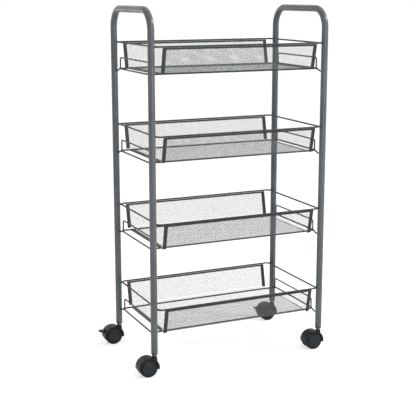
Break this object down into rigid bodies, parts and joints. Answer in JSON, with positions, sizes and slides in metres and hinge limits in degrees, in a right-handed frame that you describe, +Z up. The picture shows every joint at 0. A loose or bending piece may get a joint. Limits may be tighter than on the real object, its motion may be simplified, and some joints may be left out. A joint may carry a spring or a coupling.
{
  "type": "rolling cart",
  "caption": "Tall rolling storage cart with two arched tube side frames, a stack of shallow wire and mesh baskets, and swivel casters, the back pair with brake levers.",
  "frame": {"origin": "centre of the overall box on the floor", "axes": "+X to the right along the baskets, +Y to the back, +Z up; the front is -Y"},
  "size_m": [0.5066, 0.2768, 0.85],
  "materials": {
    "frame_powder_coat": "grey powder coat, semi-gloss",
    "wire_powder_coat": "grey powder coat, semi-gloss",
    "mesh_powder_coat": "grey powder coat, satin",
    "hood_plastic": "moulded, satin",
    "wheel_plastic": "moulded, satin",
    "lever_plastic": "moulded, satin",
    "plug_plastic": "moulded, matt",
    "stem_steel": "bright zinc plate"
  },
  "bodies": {
    "cart": {"side_frame_left": "frame_powder_coat", "side_frame_right": "frame_powder_coat", "rim_ring_1": "wire_powder_coat", "base_ring_1": "wire_powder_coat", "guard_left_1": "wire_powder_coat", "guard_right_1": "wire_powder_coat", "floor_mesh_1": "mesh_powder_coat", "front_panel_1": "mesh_powder_coat", "back_panel_1": "mesh_powder_coat", "rim_ring_2": "wire_powder_coat", "base_ring_2": "wire_powder_coat", "guard_left_2": "wire_powder_coat", "guard_right_2": "wire_powder_coat", "floor_mesh_2": "mesh_powder_coat", "front_panel_2": "mesh_powder_coat", "back_panel_2": "mesh_powder_coat", "rim_ring_3": "wire_powder_coat", "base_ring_3": "wire_powder_coat", "guard_left_3": "wire_powder_coat", "guard_right_3": "wire_powder_coat", "floor_mesh_3": "mesh_powder_coat", "front_panel_3": "mesh_powder_coat", "back_panel_3": "mesh_powder_coat", "rim_ring_4": "wire_powder_coat", "base_ring_4": "wire_powder_coat", "guard_left_4": "wire_powder_coat", "guard_right_4": "wire_powder_coat", "floor_mesh_4": "mesh_powder_coat", "front_panel_4": "mesh_powder_coat", "back_panel_4": "mesh_powder_coat", "plug_fl": "plug_plastic", "stem_fl": "stem_steel", "plug_fr": "plug_plastic", "stem_fr": "stem_steel", "plug_bl": "plug_plastic", "stem_bl": "stem_steel", "plug_br": "plug_plastic", "stem_br": "stem_steel"},
    "caster_fl": {"hood_fl": "hood_plastic", "axle_fl": "stem_steel"},
    "wheel_front_fl_body": {"wheel_front_fl": "wheel_plastic"},
    "wheel_back_fl_body": {"wheel_back_fl": "wheel_plastic"},
    "caster_fr": {"hood_fr": "hood_plastic", "axle_fr": "stem_steel"},
    "wheel_front_fr_body": {"wheel_front_fr": "wheel_plastic"},
    "wheel_back_fr_body": {"wheel_back_fr": "wheel_plastic"},
    "caster_bl": {"hood_bl": "hood_plastic", "axle_bl": "stem_steel"},
    "wheel_front_bl_body": {"wheel_front_bl": "wheel_plastic"},
    "wheel_back_bl_body": {"wheel_back_bl": "wheel_plastic"},
    "lever_bl": {"brake_lever_bl": "lever_plastic"},
    "caster_br": {"hood_br": "hood_plastic", "axle_br": "stem_steel"},
    "wheel_front_br_body": {"wheel_front_br": "wheel_plastic"},
    "wheel_back_br_body": {"wheel_back_br": "wheel_plastic"},
    "lever_br": {"brake_lever_br": "lever_plastic"}
  },
  "joints": [
    {"name": "swivel_fl", "type": "hinge", "parent": "cart", "child": "caster_fl", "pos_m": [-0.19875, -0.122, 0.036], "axis": [0, 0, 1], "continuous": true},
    {"name": "roll_front_fl", "type": "hinge", "parent": "caster_fl", "child": "wheel_front_fl_body", "pos_m": [-0.21775, -0.122, 0.022], "axis": [0, 1, 0], "continuous": true},
    {"name": "roll_back_fl", "type": "hinge", "parent": "caster_fl", "child": "wheel_back_fl_body", "pos_m": [-0.21775, -0.122, 0.022], "axis": [0, 1, 0], "continuous": true},
    {"name": "swivel_fr", "type": "hinge", "parent": "cart", "child": "caster_fr", "pos_m": [0.24525, -0.122, 0.036], "axis": [0, 0, 1], "continuous": true},
    {"name": "roll_front_fr", "type": "hinge", "parent": "caster_fr", "child": "wheel_front_fr_body", "pos_m": [0.22625, -0.122, 0.022], "axis": [0, 1, 0], "continuous": true},
    {"name": "roll_back_fr", "type": "hinge", "parent": "caster_fr", "child": "wheel_back_fr_body", "pos_m": [0.22625, -0.122, 0.022], "axis": [0, 1, 0], "continuous": true},
    {"name": "swivel_bl", "type": "hinge", "parent": "cart", "child": "caster_bl", "pos_m": [-0.19875, 0.122, 0.036], "axis": [0, 0, 1], "continuous": true},
    {"name": "roll_front_bl", "type": "hinge", "parent": "caster_bl", "child": "wheel_front_bl_body", "pos_m": [-0.21775, 0.122, 0.022], "axis": [0, 1, 0], "continuous": true},
    {"name": "roll_back_bl", "type": "hinge", "parent": "caster_bl", "child": "wheel_back_bl_body", "pos_m": [-0.21775, 0.122, 0.022], "axis": [0, 1, 0], "continuous": true},
    {"name": "brake_bl", "type": "hinge", "parent": "caster_bl", "child": "lever_bl", "pos_m": [-0.23275, 0.122, 0.033], "axis": [0, -1, 0], "range_deg": [0, 14]},
    {"name": "swivel_br", "type": "hinge", "parent": "cart", "child": "caster_br", "pos_m": [0.24525, 0.122, 0.036], "axis": [0, 0, 1], "continuous": true},
    {"name": "roll_front_br", "type": "hinge", "parent": "caster_br", "child": "wheel_front_br_body", "pos_m": [0.22625, 0.122, 0.022], "axis": [0, 1, 0], "continuous": true},
    {"name": "roll_back_br", "type": "hinge", "parent": "caster_br", "child": "wheel_back_br_body", "pos_m": [0.22625, 0.122, 0.022], "axis": [0, 1, 0], "continuous": true},
    {"name": "brake_br", "type": "hinge", "parent": "caster_br", "child": "lever_br", "pos_m": [0.21125, 0.122, 0.033], "axis": [0, -1, 0], "range_deg": [0, 14]}
  ]
}
